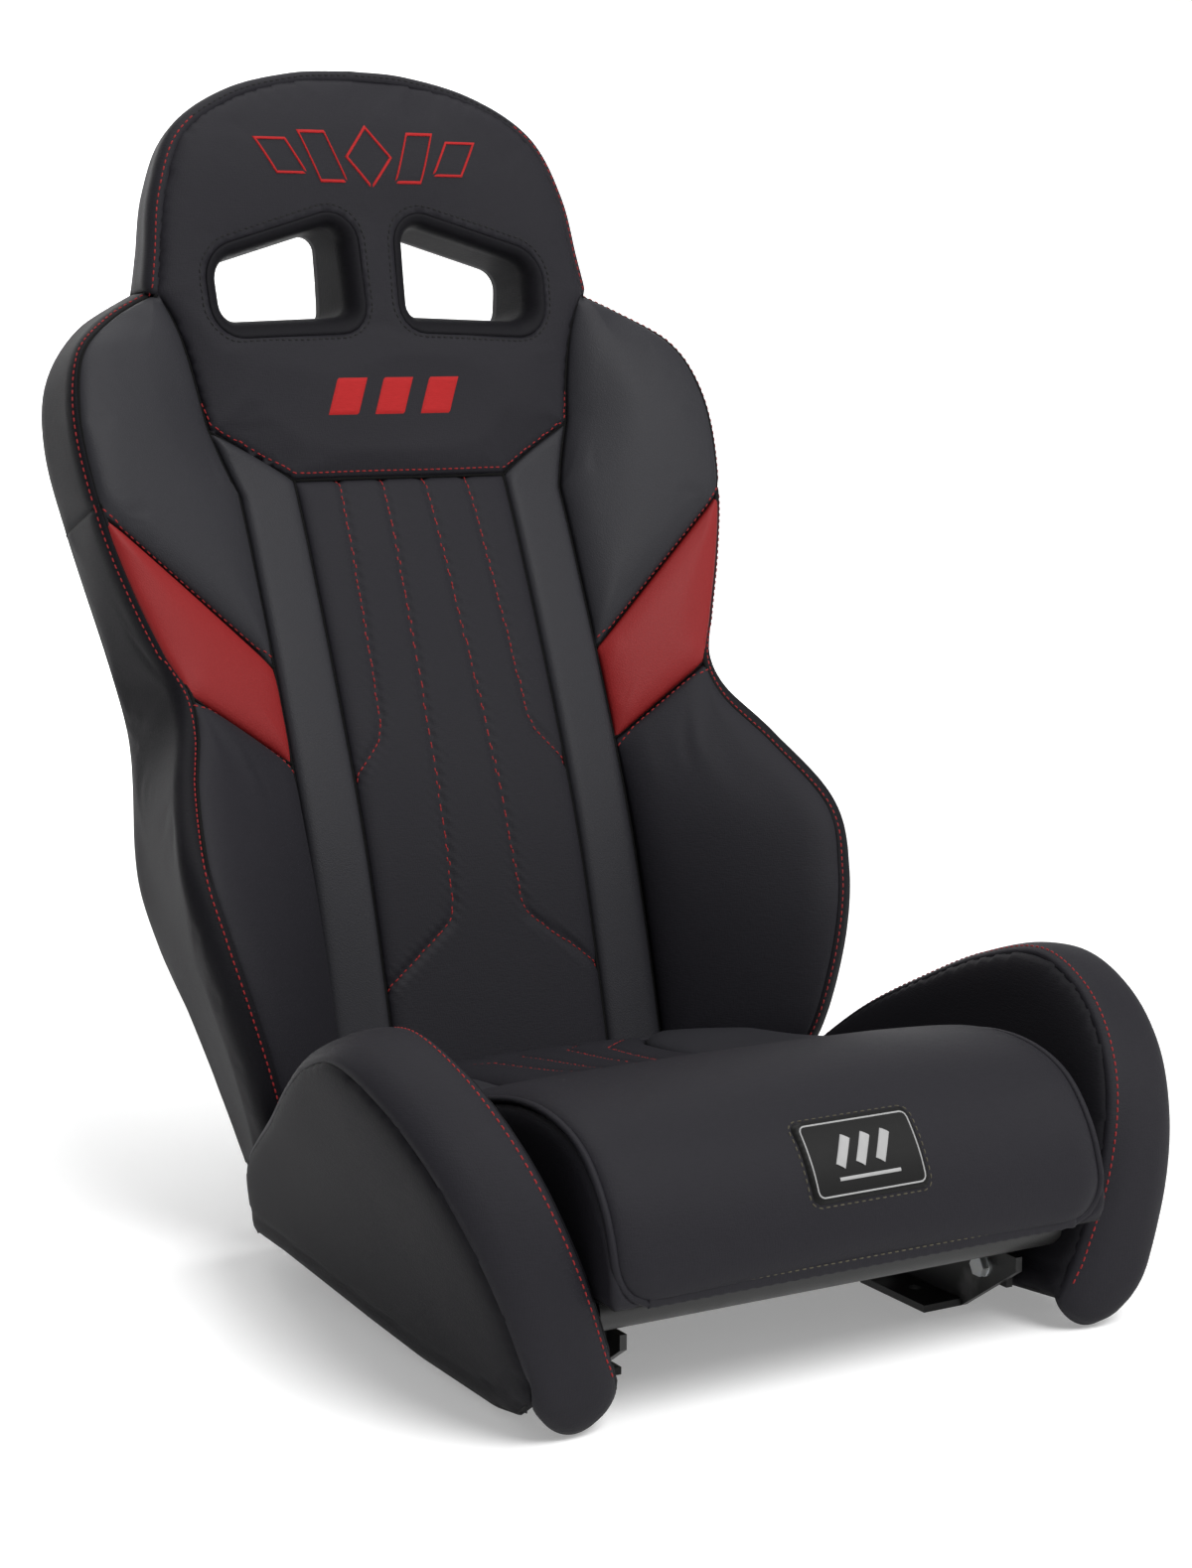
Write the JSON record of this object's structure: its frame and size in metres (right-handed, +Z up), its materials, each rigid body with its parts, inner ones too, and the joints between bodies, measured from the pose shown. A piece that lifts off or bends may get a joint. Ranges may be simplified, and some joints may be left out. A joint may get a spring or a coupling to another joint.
{
  "type": "racing seat",
  "caption": "Fixed-back racing seat on a welded tube frame, with tall bolstered back, harness slots in the head section, separate seat cushion, thigh bolsters and floor mounting brackets.",
  "frame": {"origin": "on the floor under the middle of the seat: X on the plane of symmetry, Y at the middle of the overall depth, Z at the mounting feet", "axes": "+Z up, the sitter faces -Y, +X to the left hand of a person sitting in the seat"},
  "size_m": [0.581, 0.7671, 0.856],
  "materials": {
    "cover_black": "matt woven-look vinyl",
    "vinyl_charcoal": "fine-grained matt vinyl",
    "vinyl_red": "fine-grained satin vinyl",
    "backing_cloth": "heavy nylon cloth",
    "foam": "open-cell foam",
    "frame_black": "black powder coat",
    "fastener_zinc": "zinc plated",
    "liner_mesh": "woven polyester sling",
    "eyelet_brass": "rolled brass",
    "lace_cord": "braided elastic cord",
    "badge_rubber": "moulded rubber",
    "hook_loop": "hook-and-loop tape",
    "zip_tape_black": "coil zip",
    "zip_metal": "blackened die cast"
  },
  "bodies": {
    "seat": {"accent_panel_left": "vinyl_red", "accent_panel_right": "vinyl_red", "back_foam": "foam", "back_hoop": "frame_black", "back_liner": "liner_mesh", "centre_panel": "cover_black", "foot_bolts": "fastener_zinc", "foot_bracket_left": "frame_black", "foot_bracket_right": "frame_black", "foot_nuts": "fastener_zinc", "foot_washers": "fastener_zinc", "front_cross_tube": "frame_black", "harness_bar": "frame_black", "harness_divider": "frame_black", "head_boxing": "cover_black", "head_foam": "foam", "head_hoop": "frame_black", "head_panel": "cover_black", "head_rear_panel": "backing_cloth", "lacing_cord": "lace_cord", "liner_eyelets": "eyelet_brass", "loop_strips": "hook_loop", "lumbar_tube": "frame_black", "rear_cross_tube": "frame_black", "rear_panel": "backing_cloth", "seat_liner": "liner_mesh", "shoulder_panel_left": "vinyl_charcoal", "shoulder_panel_right": "vinyl_charcoal", "side_boxing_left": "cover_black", "side_boxing_right": "cover_black", "side_rail_left": "frame_black", "side_rail_right": "frame_black", "slot_lining_left": "cover_black", "slot_lining_right": "cover_black", "stripe_left": "vinyl_charcoal", "stripe_right": "vinyl_charcoal", "thigh_cover_left": "cover_black", "thigh_cover_right": "cover_black", "thigh_foam_left": "foam", "thigh_foam_right": "foam", "thigh_loop_left": "frame_black", "thigh_loop_right": "frame_black", "weld_tabs": "frame_black", "wing_foam_left": "foam", "wing_foam_right": "foam", "wing_loop_left": "frame_black", "wing_loop_right": "frame_black", "wing_panel_left": "cover_black", "wing_panel_right": "cover_black", "zip_tape": "zip_tape_black"},
    "cushion": {"cushion_foam": "foam", "cushion_bottom_panel": "backing_cloth", "cushion_side_band": "cover_black", "cushion_front_roll": "cover_black", "cushion_top_panel": "cover_black", "badge": "badge_rubber", "hook_strips": "hook_loop"},
    "zip_slider_body": {"zip_slider": "zip_metal"},
    "zip_pull_body": {"zip_pull": "zip_metal"}
  },
  "joints": [
    {"name": "cushion_lift_off", "type": "slide", "parent": "seat", "child": "cushion", "axis": [0, -0.9659, 0.259], "range_m": [0, 0.55]},
    {"name": "zip_travel", "type": "slide", "parent": "seat", "child": "zip_slider_body", "axis": [1, 0, 0], "range_m": [0, 0.34]},
    {"name": "zip_pull_swing", "type": "hinge", "parent": "zip_slider_body", "child": "zip_pull_body", "pos_m": [-0.17, 0.18094, 0.11521], "axis": [1, 0, 0], "range_deg": [-15, 160]}
  ]
}
